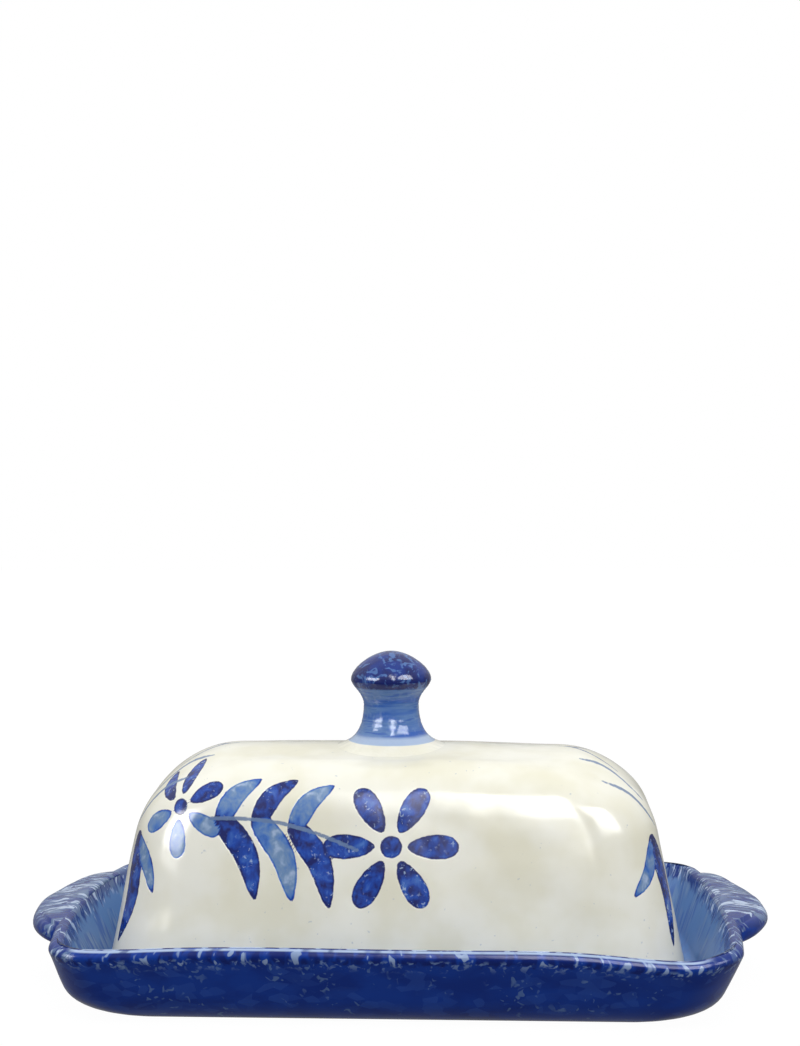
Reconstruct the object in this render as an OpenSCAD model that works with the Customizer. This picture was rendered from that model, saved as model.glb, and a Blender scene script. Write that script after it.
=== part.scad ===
// Covered butter dish in glazed stoneware: a flared tray with a lug at each end,
// and a loose domed cover with a knob. Millimetres, +X along the length, +Z up.
// The origin is the centre of the underside that the tray stands on.

/* [Dish] */
// Length over the rim, without the lugs
dish_len = 209; // [180:1:252]
// Width over the rim
dish_wid = 129; // [114:1:160]
// Height of the rim above the table
dish_h = 24; // [20:0.5:30]
// Thickness of the flared wall and its round rim
dish_wall = 4.5; // [3.5:0.1:5.5]
// Thickness of the floor
dish_floor = 5; // [4:0.5:6.5]
// Slope of the wall from upright, in degrees
dish_flare = 23; // [18:1:30]
// Radius of the bend from the underside to the wall
dish_bend = 14; // [8:1:15]
// Radius between the floor of the well and its wall
well_bend = 3; // [2:0.5:4]
// Plan radius of the corners at the rim
rim_corner = 11; // [8:1:26]
// Plan radius of the corners of the underside
foot_corner = 22; // [6:1:28]
// How far each end is bowed outwards in its middle
end_bow = 5; // [0:0.5:6]

/* [Lugs] */
// How far a lug stands out past the rim
lug_reach = 11.6; // [8:0.1:16]
// Thickness of a lug where it joins the rim
lug_root = 7; // [6:0.1:8.5]
// Thickness of a lug at its outer edge
lug_edge = 5.6; // [4:0.1:6]
// How far a lug's top lies below the rim
lug_drop = 0.7; // [0.5:0.1:2]
// How much lower a lug's outer edge lies than its root
lug_droop = 0.8; // [0:0.1:2]
// Length of the left lug in front of the dish's middle
left_lug_front = 33; // [24:1:49]
// Length of the left lug behind the dish's middle
left_lug_back = 46; // [24:1:49]
// Length of the right lug in front of the dish's middle
right_lug_front = 26; // [24:1:49]
// Length of the right lug behind the dish's middle
right_lug_back = 48; // [24:1:49]

/* [Cover] */
// Height of the cover from its foot to its flat top
cover_h = 68.5; // [57:0.5:84]
// Thickness of the cover's wall
cover_wall = 4.5; // [3.5:0.1:5]
// Slope of the cover's wall from upright, in degrees
cover_lean = 10.5; // [6:0.5:12]
// Radius of the shoulder at each end
end_shoulder = 30; // [24:1:38]
// Plan radius of the corners at the cover's foot
cover_corner = 26; // [22:1:36]
// Plan radius of the corners of the flat top
top_corner = 18; // [10:1:20]
// Rounding of the cover's foot, inside and out
foot_round = 1.5; // [1:0.1:1.8]
// Gap between the cover and the edge of the flat floor, at each end
end_gap = 1.9; // [0.8:0.1:4]
// Gap between the cover and the edge of the flat floor, at each side
side_gap = 2.5; // [1:0.1:5]

/* [Knob] */
// Height of the knob above the cover
knob_h = 29.5; // [22:0.5:36]
// Radius of the knob's cap
cap_r = 12.8; // [10.5:0.1:16]
// Depth from the top of the cap to its widest line
cap_depth = 8.7; // [7:0.1:10.5]
// Radius of the neck at its narrowest
neck_r = 8.8; // [7:0.1:10]
// Height of the narrowest line above the cover
neck_z = 12.2; // [9:0.1:13]
// Radius of the knob's flared foot
knob_foot_r = 20; // [16:0.5:24]
// Thickness of the flared foot at its edge
knob_foot_t = 0.5; // [0.4:0.1:1]
// Flat left on the cover around the knob's foot
knob_seat = 0.5; // [0.2:0.1:2]
// How far the knob stands off the middle of the cover
knob_shift = -2.2; // [-6:0.1:6]

/* [Hidden] */
$fn = 96;
corner_steps = 8;    // segments of a rounded corner in plan
bow_points = 7;      // points of a bowed end between its corners
bend_steps = 5;      // segments of the bend and of the well's fillet
shoulder_steps = 9;  // segments of the cover's shoulder
curve_steps = 9;     // segments of each stretch of the knob's outline
lug_steps = 8;       // stations of a lug on each side of its middle
edge_steps = 6;      // segments of a lug's round edge

// The dish's section, as the distance in from the rim's outer line and the height
lip_r = dish_wall / 2;
lip_z = dish_h - lip_r;
bend_top = dish_bend * (1 - sin(dish_flare));
function outer_in(z) =
    lip_r * (1 - cos(dish_flare)) + (lip_z - lip_r * sin(dish_flare) - z) * tan(dish_flare);
function inner_in(z) =
    lip_r * (1 + cos(dish_flare)) + (lip_z + lip_r * sin(dish_flare) - z) * tan(dish_flare);
foot_in = outer_in(bend_top) + dish_bend * cos(dish_flare);
well_z = dish_floor + well_bend;
well_in = inner_in(well_z - well_bend * sin(dish_flare)) + well_bend * cos(dish_flare);
level_wall = dish_wall / cos(dish_flare);

// The cover's section
cover_z = dish_floor;
top_z = cover_z + cover_h;
cover_a = dish_len / 2 - well_in - end_gap;
cover_b = dish_wid / 2 - well_in - side_gap;
lean_in = cover_h * tan(cover_lean);
turn = tan((90 - cover_lean) / 2);
flat_b = knob_foot_r + knob_seat;
side_shoulder = (cover_b - lean_in - flat_b) / turn;

// A rounded rectangle of half length a and half width b, as a ring of points. Each end
// can have more points between its corners, for a bow
function ring(a, b, r, z, more = 0) = [
    for (q = [0:3], k = [0:corner_steps + (q % 2) * more])
        let (t = 90 * (q + min(k / corner_steps, 1)),
             run = max(k - corner_steps, 0) / (more + 1))
        [sign(cos(90 * q + 45)) * (a - r) + r * cos(t),
         sign(sin(90 * q + 45)) * (b - r) * (1 - 2 * run) + r * sin(t), z]
];

// A closed skin over rings of equally many points
module loft(rings) {
    n = len(rings[0]);
    last = len(rings) - 1;
    polyhedron(
        points = [for (r = rings) for (p = r) p],
        faces = concat(
            [[for (k = [0:n - 1]) k]],
            [for (i = [0:last - 1], k = [0:n - 1]) let (m = (k + 1) % n)
                [i * n + k, (i + 1) * n + k, (i + 1) * n + m]],
            [for (i = [0:last - 1], k = [0:n - 1]) let (m = (k + 1) % n)
                [i * n + k, (i + 1) * n + m, i * n + m]],
            [[for (k = [n - 1:-1:0]) last * n + k]]
        )
    );
}

// One ring of the dish, from its distance in from the rim and its height, with its ends bowed
function tray_corner(inset) = rim_corner - (rim_corner - foot_corner) * inset / foot_in;
function tray_ring(inset, z, corner) = [
    for (p = ring(dish_len / 2 - inset, dish_wid / 2 - inset, corner, z, bow_points))
        [p.x - sign(p.x) * end_bow * pow(2 * p.y / dish_wid, 2), p.y, z]
];

// The dish's outside, from the underside to the crest of the rim
function tray_outside() = concat(
    [for (i = [0:bend_steps])
        let (t = (90 - dish_flare) * i / bend_steps, inset = foot_in - dish_bend * sin(t))
        tray_ring(inset, dish_bend * (1 - cos(t)), tray_corner(inset))],
    [for (t = [-dish_flare, 0, 30, 60, 90]) let (inset = lip_r * (1 - cos(t)))
        tray_ring(inset, lip_z + lip_r * sin(t), tray_corner(inset))]
);

// The dish's inside, from past the crest of the rim to the flat floor
function tray_inside() = concat(
    [for (t = [120, 150, 180 - dish_flare]) let (inset = lip_r * (1 - cos(t)))
        tray_ring(inset, lip_z + lip_r * sin(t), rim_corner - inset)],
    [for (i = [bend_steps:-1:0])
        let (t = (90 - dish_flare) * i / bend_steps, inset = well_in - well_bend * sin(t))
        tray_ring(inset, well_z - well_bend * cos(t), tray_corner(inset - level_wall) - level_wall)]
);

module dish() {
    color("#1d3a83") loft(concat(tray_outside(), tray_inside()));
}

// How far a lug's edge stands out at a share of its length: 1 in the middle, 0 at its end
function fullness(share, power) = pow(1 - pow(share, power), 1 / power);

// A lug's section at one station, where its edge stands at x
function lug_ring(x, y) =
    let (root_z = dish_h - lug_drop - lug_root / 2, edge_z = root_z - lug_droop,
         hidden = dish_len / 2 - 3 * dish_wall)
    concat(
        [[hidden, y, root_z - lug_root / 2], [hidden, y, root_z + lug_root / 2]],
        [for (i = [0:edge_steps]) let (t = 90 - 180 * i / edge_steps)
            [x - lug_edge / 2 * (1 - cos(t)), y, edge_z + lug_edge / 2 * sin(t)]]
    );

// A lug on the +X end, cut to the wall of the dish that it is luted to
module lug(front, back, front_power, back_power) {
    deep = dish_wall + lug_reach;
    difference() {
        loft([
            for (i = [-lug_steps:lug_steps])
                let (share = sin(90 * abs(i) / lug_steps),
                     full = fullness(share, i < 0 ? front_power : back_power))
                lug_ring(dish_len / 2 - dish_wall + deep * full, share * (i < 0 ? -front : back))
        ]);
        loft(tray_outside());
    }
}

module left_lug() {
    color("#6f83ad") mirror([1, 0, 0]) lug(left_lug_front, left_lug_back, 2, 2.4);
}

module right_lug() {
    color("#6f83ad") lug(right_lug_front, right_lug_back, 1.8, 2.8);
}

// Half size of a leaning wall with a round shoulder, at height z
function dome(z, foot, shoulder, crest) =
    let (centre_z = crest - shoulder,
         bend_z = centre_z + shoulder * sin(cover_lean),
         centre = foot - (bend_z - cover_z) * tan(cover_lean) - shoulder * cos(cover_lean))
    z <= bend_z
        ? foot - (z - cover_z) * tan(cover_lean)
        : centre + sqrt(max(0, pow(shoulder, 2) - pow(z - centre_z, 2)));

// One ring of the cover: skin is 0 on the outside and the wall's thickness on the
// inside, and pull draws the ring in, to round the foot
function dome_ring(z, skin, pull) =
    let (level = skin / cos(cover_lean), crest = top_z - skin,
         a = dome(z, cover_a - level, end_shoulder - skin, crest),
         b = dome(z, cover_b - level, side_shoulder - skin, crest),
         corner = min(cover_corner, cover_b) - level,
         crown = min(top_corner, flat_b),
         share = (b - flat_b) / (cover_b - level - flat_b))
    ring(a - pull, b - pull, crown + (corner - crown) * share - pull, z);

// The rings of one face of the cover, from its foot to its crest
function dome_face(skin) = concat(
    [for (t = [0:30:90])
        dome_ring(cover_z + foot_round * (1 - cos(t)), skin,
                  foot_round * (1 - sin(t)) * (skin == 0 ? 1 : -1))],
    [for (i = [0:shoulder_steps])
        let (t = cover_lean + (90 - cover_lean) * i / shoulder_steps)
        dome_ring(top_z - skin - (end_shoulder - skin) * (1 - sin(t)), skin, 0)]
);

module cover() {
    inside = dome_face(cover_wall);
    color("#ebe8dd")
        loft(concat([for (i = [len(inside) - 1:-1:0]) inside[i]], dome_face(0)));
}

// The knob's outline: a curve between two points with a handle at each
function curve(p, ph, qh, q) = [
    for (i = [1:curve_steps]) let (t = i / curve_steps, s = 1 - t)
        s * s * s * p + 3 * s * s * t * ph + 3 * s * t * t * qh + t * t * t * q
];

module knob() {
    crest = [0, knob_h];
    wide = [cap_r, knob_h - cap_depth];
    waist = [neck_r, neck_z];
    brim = [knob_foot_r, knob_foot_t];
    color("#2c4f97") translate([knob_shift, 0, top_z]) rotate_extrude() polygon(concat(
        [[0, 0], crest],
        curve(crest, [cap_r / 2, knob_h], wide + [0, cap_depth / 2], wide),
        curve(wide, wide - [0, 2.2], waist + [0, 3.2], waist),
        curve(waist, waist - [0, 9], brim - [6.5, 0], brim),
        [[knob_foot_r, 0]]
    ));
}

dish();
left_lug();
right_lug();
cover();
knob();
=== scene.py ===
"""A covered butter dish in hand-painted stoneware: its shapes, glazes, painting and stage."""

import math

import bpy
import numpy as np
from bpy.props import FloatProperty, FloatVectorProperty, IntProperty, PointerProperty
from mathutils import Matrix, Vector


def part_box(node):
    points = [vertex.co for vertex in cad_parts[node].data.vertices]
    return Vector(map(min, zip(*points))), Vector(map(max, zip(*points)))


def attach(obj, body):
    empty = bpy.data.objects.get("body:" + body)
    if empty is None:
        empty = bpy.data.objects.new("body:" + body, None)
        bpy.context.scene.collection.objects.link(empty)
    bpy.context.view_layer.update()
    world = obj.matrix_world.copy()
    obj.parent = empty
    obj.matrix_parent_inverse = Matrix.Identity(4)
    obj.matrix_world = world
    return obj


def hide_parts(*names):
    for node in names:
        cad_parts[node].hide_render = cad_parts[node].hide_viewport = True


bl_info = {
    "name": "Butter Dish",
    "version": (1, 0, 0),
    "blender": (4, 5, 0),
    "location": "View3D > Sidebar > Butter Dish",
    "description": "Makes a stoneware butter dish, its brush-painted cover and a studio",
    "category": "Object",
}

MM = 0.001
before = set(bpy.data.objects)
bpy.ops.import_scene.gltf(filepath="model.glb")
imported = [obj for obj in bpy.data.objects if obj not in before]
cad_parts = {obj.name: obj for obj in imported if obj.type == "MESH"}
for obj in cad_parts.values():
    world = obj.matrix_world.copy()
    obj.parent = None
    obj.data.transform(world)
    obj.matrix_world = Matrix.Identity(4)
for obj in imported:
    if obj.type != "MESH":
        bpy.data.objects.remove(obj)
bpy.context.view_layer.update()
DISH_LOW, DISH_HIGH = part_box("dish")
LUG_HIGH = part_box("right_lug")[1]
COVER_LOW, COVER_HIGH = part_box("cover")
KNOB_LOW, KNOB_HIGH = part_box("knob")


def length(name, description, default):
    """A size in metres that the user can change."""
    return FloatProperty(name=name, description=description, default=default, min=0, unit="LENGTH")


def angle(name, description, degrees):
    """An angle that the user can change."""
    return FloatProperty(
        name=name, description=description, default=math.radians(degrees), unit="ROTATION"
    )


def colour(name, description, red, green, blue):
    """A colour that the user can change, from its screen values of 0 to 255."""
    shades = (linear(red), linear(green), linear(blue))
    return FloatVectorProperty(
        name=name, description=description, default=shades, min=0, max=1, size=3, subtype="COLOR"
    )


def linear(level):
    """The linear light of a screen value of 0 to 255."""
    share = level / 255
    return share / 12.92 if share <= 0.04045 else ((share + 0.055) / 1.055) ** 2.4


class TraySizes(bpy.types.PropertyGroup):
    """Sizes of the flared tray."""

    length: length("Length", "Length over the rim, without the lugs", DISH_HIGH.x - DISH_LOW.x)
    width: length("Width", "Width over the rim", DISH_HIGH.y - DISH_LOW.y)
    height: length("Height", "Height of the rim above the table", DISH_HIGH.z)
    wall: length("Wall", "Thickness of the wall and its round rim", 4.5 * MM)
    floor: length("Floor", "Height of the well's floor", COVER_LOW.z)
    flare: angle("Flare", "Slope of the wall from upright", 23)
    bend: length("Bend", "Radius between the underside and the wall", 14 * MM)
    well_bend: length("Well bend", "Radius between the well's floor and its wall", 3 * MM)
    rim_corner: length("Rim corner", "Plan radius of the corners at the rim", 11 * MM)
    foot_corner: length("Foot corner", "Plan radius of the corners of the underside", 22 * MM)
    bow: length("End bow", "How far each end is bowed outwards in its middle", 5 * MM)
    unevenness: length("Unevenness", "How far the hand-built wall wanders", 0.35 * MM)
    bare_foot: length("Bare foot", "Height of the unglazed clay at the foot", 1.0 * MM)


class LugSizes(bpy.types.PropertyGroup):
    """Sizes of the two lugs."""

    reach: length("Reach", "How far a lug stands out past the rim", LUG_HIGH.x - DISH_HIGH.x)
    edge: length("Edge", "Thickness of a lug at its outer edge", 5.6 * MM)
    root: length("Root", "Thickness of a lug where it joins the rim", 7 * MM)
    droop: length("Droop", "How far a lug's edge lies below the rim", 1.5 * MM)


class CoverSizes(bpy.types.PropertyGroup):
    """Sizes of the domed cover."""

    length: length("Length", "Length of the cover near its foot", COVER_HIGH.x - COVER_LOW.x)
    width: length("Width", "Width of the cover near its foot", COVER_HIGH.y - COVER_LOW.y)
    foot: length("Foot height", "Height that the cover's foot stands at", COVER_LOW.z)
    top: length("Top height", "Height of the cover's top above the table", COVER_HIGH.z)
    wall: length("Wall", "Thickness of the cover's wall", 4.5 * MM)
    lean: angle("Lean", "Slope of the wall from upright", 10.5)
    end_shoulder: length("End shoulder", "Radius of the shoulder at each end", 30 * MM)
    corner: length("Corner", "Plan radius of the corners at the foot", 26 * MM)
    top_corner: length("Top corner", "Plan radius of the corners of the top", 18 * MM)
    foot_round: length("Foot rounding", "Rounding of the foot, inside and out", 1.5 * MM)
    crown: length("Crown", "How far the top falls away towards its long edges", 2.2 * MM)
    sag: length("Sag", "How far the top sags towards its right end", 0.8 * MM)
    unevenness: length("Unevenness", "How far the hand-built wall wanders", 0.45 * MM)


class KnobSizes(bpy.types.PropertyGroup):
    """Sizes of the thrown knob."""

    height: length("Height", "Height of the knob above the cover", KNOB_HIGH.z - KNOB_LOW.z)
    foot_radius: length("Foot radius", "Radius of the flared foot", (KNOB_HIGH.x - KNOB_LOW.x) / 2)
    foot_sink: length("Foot sink", "How far the foot's edge lies in the cover", 0.25 * MM)
    cap_radius: length("Cap radius", "Radius of the cap", 12.8 * MM)
    cap_depth: length("Cap depth", "Depth from the crest to the widest line", 8.9 * MM)
    neck_radius: length("Neck radius", "Radius of the neck at its narrowest", 8.8 * MM)
    neck_height: length("Neck height", "Height of the narrowest line", 12.6 * MM)
    throwing: length("Throwing lines", "Depth of the lines that fingers left", 0.12 * MM)
    segments: IntProperty(name="Segments", description="Faces round the knob", default=128, min=16)


class GlazeColours(bpy.types.PropertyGroup):
    """Colours of the clay, the glazes and the brushwork."""

    ivory: colour("Ivory", "White glaze of the cover", 241, 240, 228)
    cream: colour("Cream", "White glaze where it lies thick", 230, 227, 206)
    night: colour("Night", "Cobalt where the brush pooled", 0, 22, 98)
    navy: colour("Navy", "Deep cobalt of the wall", 4, 48, 138)
    cobalt: colour("Cobalt", "Cobalt of the wall and the full brush", 14, 68, 168)
    denim: colour("Denim", "Cobalt of a half-loaded brush", 66, 114, 188)
    slate: colour("Slate", "Thin greyed cobalt of the pale leaves", 112, 143, 181)
    mist: colour("Mist", "Palest wash of cobalt", 186, 203, 230)
    stalk: colour("Stalk", "Grey-blue of stalks and hair lines", 90, 112, 152)
    clay: colour("Clay", "Bare fired clay", 150, 146, 138)


class StudioSettings(bpy.types.PropertyGroup):
    """The camera and the light."""

    lens: FloatProperty(
        name="Lens", description="Focal length of the camera", default=56.4, min=10, unit="CAMERA"
    )
    distance: length("Distance", "How far in front of the dish the camera stands", 0.5221)
    height: length("Height", "Height of the camera above the table", 0.1458)
    daylight: FloatProperty(
        name="Daylight", description="Strength of the light from all round", default=1.0, min=0
    )


class ButterDish(bpy.types.PropertyGroup):
    """Everything that a user can change about the butter dish."""

    tray: PointerProperty(type=TraySizes)
    lugs: PointerProperty(type=LugSizes)
    cover: PointerProperty(type=CoverSizes)
    knob: PointerProperty(type=KnobSizes)
    colours: PointerProperty(type=GlazeColours)
    studio: PointerProperty(type=StudioSettings)


# ---------------------------------------------------------------- shapes, in millimetres


def in_mm(group, *names):
    """Some of a group's lengths, in millimetres."""
    return [getattr(group, name) / MM for name in names]


def outline(long_side, short_side, corner):
    """Where each point of a rounded rectangle belongs: the signs of its corner's centre and
    its normal, from the middle of the front towards +X. The arguments count the points on
    half a long side, on half a short side and on a quarter turn."""
    stretches = [
        # signs of the centre from and to, angle of the normal from and to, points
        ((0, -1), (1, -1), -90, -90, long_side),
        ((1, -1), (1, -1), -90, 0, corner),
        ((1, -1), (1, 1), 0, 0, 2 * short_side),
        ((1, 1), (1, 1), 0, 90, corner),
        ((1, 1), (-1, 1), 90, 90, 2 * long_side),
        ((-1, 1), (-1, 1), 90, 180, corner),
        ((-1, 1), (-1, -1), 180, 180, 2 * short_side),
        ((-1, -1), (-1, -1), 180, 270, corner),
        ((-1, -1), (0, -1), 270, 270, long_side),
    ]
    signs, normals = [], []
    for start, end, turn_start, turn_end, count in stretches:
        share = (np.arange(count) / count)[:, None]
        signs.append(np.array(start) + (np.array(end) - np.array(start)) * share)
        turn = np.radians(turn_start + (turn_end - turn_start) * share[:, 0])
        normals.append(np.stack([np.cos(turn), np.sin(turn)], 1))
    return np.concatenate(signs), np.concatenate(normals)


def ring(plan, half_length, half_width, corner, height):
    """One level ring of points round a rounded rectangle."""
    signs, normals = plan
    centre = signs * [half_length - corner, half_width - corner]
    flat = centre + corner * normals
    return np.column_stack([flat, np.full(len(flat), height)])


def filled(edge, shares):
    """Rings that fill a level outline, each the edge drawn in to a share of its size."""
    return [edge * [share, share, 1] for share in shares]


def placed(name, data):
    """A new object in the scene, which stands at the origin."""
    item = bpy.data.objects.new(name, data)
    bpy.context.collection.objects.link(item)
    return item


def path_length(points):
    """Distance along a row of points, from its first."""
    steps = np.linalg.norm(np.diff(points, axis=0), axis=1)
    return np.concatenate([[0], np.cumsum(steps)])


def round_length(loop):
    """Distance round a closed loop to each of its points, and the loop's whole length."""
    along = path_length(np.vstack([loop, loop[:1]]))
    return along[:-1], along[-1]


def waver(points, wavelength, seed):
    """A smooth, repeatable unevenness of about -1 to 1 at each point."""
    rng = np.random.default_rng(seed)
    total = np.zeros(points.shape[:-1])
    waves = 9
    for _ in range(waves):
        heading = rng.normal(size=3)
        heading *= 2 * math.pi / (np.linalg.norm(heading) * wavelength * rng.uniform(0.7, 1.6))
        total += np.sin(points @ heading + rng.uniform(0, 2 * math.pi))
    return total * 1.4 / waves**0.5 / 1.7


def ease(value, low, high):
    """0 below low and 1 above high, with a smooth turn between them."""
    share = np.clip((np.asarray(value, float) - low) / (high - low), 0, 1)
    return share * share * (3 - 2 * share)


def skin(name, rings, attributes, material):
    """A closed mesh object over a stack of rings, with a pole at each end of the stack.
    Each attribute holds a number or a vector for each point of the rings."""
    rings = np.asarray(rings)
    levels, around = rings.shape[:2]
    ends = rings[[0, -1]].mean(axis=1)
    index = np.arange(levels * around).reshape(levels, around)
    beside = np.roll(index, -1, axis=1)
    quads = np.stack([index[:-1], beside[:-1], beside[1:], index[1:]], axis=-1).reshape(-1, 4)
    first, last = levels * around, levels * around + 1
    start = np.stack([np.full(around, first), beside[0], index[0]], axis=-1)
    finish = np.stack([index[-1], beside[-1], np.full(around, last)], axis=-1)
    mesh = bpy.data.meshes.new(name)
    vertices = np.concatenate([rings.reshape(-1, 3), ends]) * MM
    mesh.from_pydata(vertices.tolist(), [], quads.tolist() + start.tolist() + finish.tolist())
    for label, values in attributes.items():
        values = np.asarray(values, np.float32)
        poles = values[[0, -1]].mean(axis=1)
        values = np.concatenate([values.reshape(-1, *values.shape[2:]), poles])
        kind, slot = ("FLOAT_VECTOR", "vector") if values.ndim == 2 else ("FLOAT", "value")
        mesh.attributes.new(label, kind, "POINT").data.foreach_set(slot, values.ravel())
    mesh.shade_smooth()
    mesh.materials.append(material)
    return placed(name, mesh)


def tray_line(points, tray):
    """How the tray's rim wanders from level, in millimetres: it sags in front at the right
    end, and a little at the left end."""
    half_width = tray.width / MM / 2
    front = ease(-points[..., 1], 0.6 * half_width, 0.95 * half_width)
    x, lowest = points[..., 0], 84
    right = np.exp(-(((x - lowest) / np.where(x < lowest, 25, 10)) ** 2))
    left = np.exp(-(((x + 82) / 20) ** 2))
    back = ease(points[..., 1], 0.35 * half_width, half_width) * ease(np.abs(x), 60, 96)
    dips = front * (2.6 * right + 0.8 * left) + 1.1 * back
    return 0.25 * waver(points * [1, 1, 0], 70, 3) - dips


def tray_rings(tray):
    """The tray's rings, from the middle of its underside, over the rim, to the middle of the
    well, and how far each lies along its section from the rim's crest: less than 0 inside."""
    wall, height, floor = in_mm(tray, "wall", "height", "floor")
    bend, well_bend, rim_corner, foot_corner = in_mm(
        tray, "bend", "well_bend", "rim_corner", "foot_corner"
    )
    half_length, half_width = tray.length / MM / 2, tray.width / MM / 2
    lean, lip = tray.flare, wall / 2
    lip_z = height - lip

    def outer_in(z):
        return lip * (1 - math.cos(lean)) + (lip_z - lip * math.sin(lean) - z) * math.tan(lean)

    def inner_in(z):
        return lip * (1 + math.cos(lean)) + (lip_z + lip * math.sin(lean) - z) * math.tan(lean)

    bend_top = bend * (1 - math.sin(lean))
    foot_in = outer_in(bend_top) + bend * math.cos(lean)
    well_z = floor + well_bend
    well_in = inner_in(well_z - well_bend * math.sin(lean)) + well_bend * math.cos(lean)
    quarter = math.pi / 2

    def corner(inset):
        return rim_corner - (rim_corner - foot_corner) * inset / foot_in

    section = []
    for turn in np.linspace(0, quarter - lean, 12):
        inset = foot_in - bend * math.sin(turn)
        section.append((inset, bend * (1 - math.cos(turn)), corner(inset)))
    for z in np.linspace(bend_top, lip_z - lip * math.sin(lean), 16)[1:-1]:
        section.append((outer_in(z), z, corner(outer_in(z))))
    for turn in np.linspace(-lean, quarter, 11):
        inset = lip * (1 - math.cos(turn))
        section.append((inset, lip_z + lip * math.sin(turn), corner(inset)))
    crest = len(section) - 1
    for turn in np.linspace(quarter, math.pi - lean, 11)[1:]:
        inset = lip * (1 - math.cos(turn))
        section.append((inset, lip_z + lip * math.sin(turn), rim_corner - inset))
    level_wall = wall / math.cos(lean)
    last_corner = section[-1][2]
    well_corner = corner(well_in - level_wall) - level_wall
    bottom_z = well_z - well_bend * math.sin(lean)
    start_z = section[-1][1]
    for z in np.linspace(start_z, bottom_z, 16)[1:]:
        share = (start_z - z) / (start_z - floor)
        section.append((inner_in(z), z, last_corner + (well_corner - last_corner) * share))
    for turn in np.linspace(quarter - lean, 0, 7)[1:]:
        inset = well_in - well_bend * math.sin(turn)
        section.append((inset, well_z - well_bend * math.cos(turn), well_corner))
    plan = outline(108, 56, 30)
    rings = [ring(plan, half_length - i, half_width - i, radius, z) for i, z, radius in section]
    along = path_length(np.array([(inset, z) for inset, z, _ in section]))
    across = along[crest] - along
    shares = np.linspace(0.08, 0.97, 9)
    rings = filled(rings[0], shares) + rings + filled(rings[-1], shares[::-1])
    across = np.concatenate([np.full(9, across[0] + 5), across, np.full(9, across[-1] - 5)])
    return np.array(rings), across, plan


def make_tray(sizes):
    """Shapes the tray and says where each point lies round it and over its rim."""
    tray = sizes.tray
    rings, across, plan = tray_rings(tray)
    half_length, half_width = tray.length / MM / 2, tray.width / MM / 2
    height, floor, bow = in_mm(tray, "height", "floor", "bow")
    rings[..., 0] -= bow * rings[..., 0] / half_length * (rings[..., 1] / half_width) ** 2
    rise = ease(rings[..., 2], floor + 1, height)
    wander = waver(rings, 55, 1) * tray.unevenness / MM * rise
    rings[..., :2] += wander[..., None] * plan[1]
    rings[..., 2] += tray_line(rings, tray) * rise
    drawn_in = ease(-rings[..., 0], 60, 100) * ease(-rings[..., 1], 15, 56)
    rings[..., 0] += 2.6 * drawn_in * rise
    round_it, girth = round_length(rings[np.argmin(np.abs(across))])
    turn = 2 * math.pi * round_it / girth
    radius = girth / (2 * math.pi)
    across = np.broadcast_to(across[:, None], rings.shape[:2])
    wrap = np.stack(np.broadcast_arrays(radius * np.cos(turn), radius * np.sin(turn), across), -1)
    return skin("glazed_tray", rings, {"across": across, "wrap": wrap}, sponged_glaze(sizes))


def make_lug(sizes, name, side, front, back, front_power, back_power):
    """Shapes one lug, which drapes over the rim at its root. side is 1 at the +X end and -1
    at the other; front and back are how far it runs from the tray's middle, in millimetres,
    and the powers say how full each half is."""
    tray, lugs = sizes.tray, sizes.lugs
    half_length, half_width = tray.length / MM / 2, tray.width / MM / 2
    wall, height, bow = in_mm(tray, "wall", "height", "bow")
    reach, edge, root, droop = in_mm(lugs, "reach", "edge", "root", "droop")
    stations, top_points, edge_points, under_points = 84, 18, 16, 10
    tuck = 1.7  # how far the root reaches in over the rim's crest
    rings, across = [], []
    for share in np.sin(np.linspace(-math.pi / 2, math.pi / 2, stations)):
        run, power = (front, front_power) if share < 0 else (back, back_power)
        y = share * run
        full = max(0.0, 1 - abs(share) ** power) ** (1 / power)
        crest_x = half_length - wall / 2 - bow * (y / half_width) ** 2
        outer_x = max(half_length - wall + (wall + reach) * full, crest_x + 0.4)
        radius = min(edge / 2, (outer_x - crest_x) / 2)
        edge_x, edge_z = outer_x - radius, height - droop - edge / 2
        run_out = np.linspace(0, 1, top_points)
        start_x = crest_x - tuck
        top_x = start_x + (edge_x - start_x) * run_out
        proud = 0.25 * full - 0.7 * (1 - full) ** 2
        fall = droop * ease(top_x, crest_x, crest_x + wall / 2 + reach * 0.8)
        roll = 1.1 * np.clip((crest_x - top_x) / tuck, 0, 1) ** 2
        top_z = height + proud - fall * full - roll
        top_z[-1] = edge_z + edge / 2
        turn = np.linspace(math.pi / 2, -math.pi / 2, edge_points)[1:]
        edge_line = [edge_x + radius * np.cos(turn), edge_z + edge / 2 * np.sin(turn)]
        under = np.linspace(0, 1, under_points)[1:]
        under_x = edge_x + (crest_x - edge_x) * under
        under_z = edge_z - edge / 2 - (root - edge) * 0.5 * under**2
        root_end = [[crest_x - 0.6], [height - 2.2]]
        loop = np.hstack([[top_x, top_z], edge_line, [under_x, under_z], root_end]).T
        rings.append(np.column_stack([side * loop[:, 0], np.full(len(loop), y), loop[:, 1]]))
        across.append(path_length(loop) + 0.2)
    rings, across = np.array(rings), np.array(across)
    if side > 0:
        rings, across = rings[:, ::-1], across[:, ::-1]
    rings[..., 2] += tray_line(rings, tray)
    bumps = waver(rings, 26, 5) * 0.3 + waver(rings, 11, 6) * 0.12
    rings[..., 2] += bumps * ease(across, 2, 8)
    away = 400  # keeps the lugs' streaks from repeating the tray's
    wrap = np.stack([rings[..., 1] + away, np.full_like(across, 60 * side), across], axis=-1)
    return skin(name, rings, {"across": across, "wrap": wrap}, lug_glaze(name + "_glaze", sizes))


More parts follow.
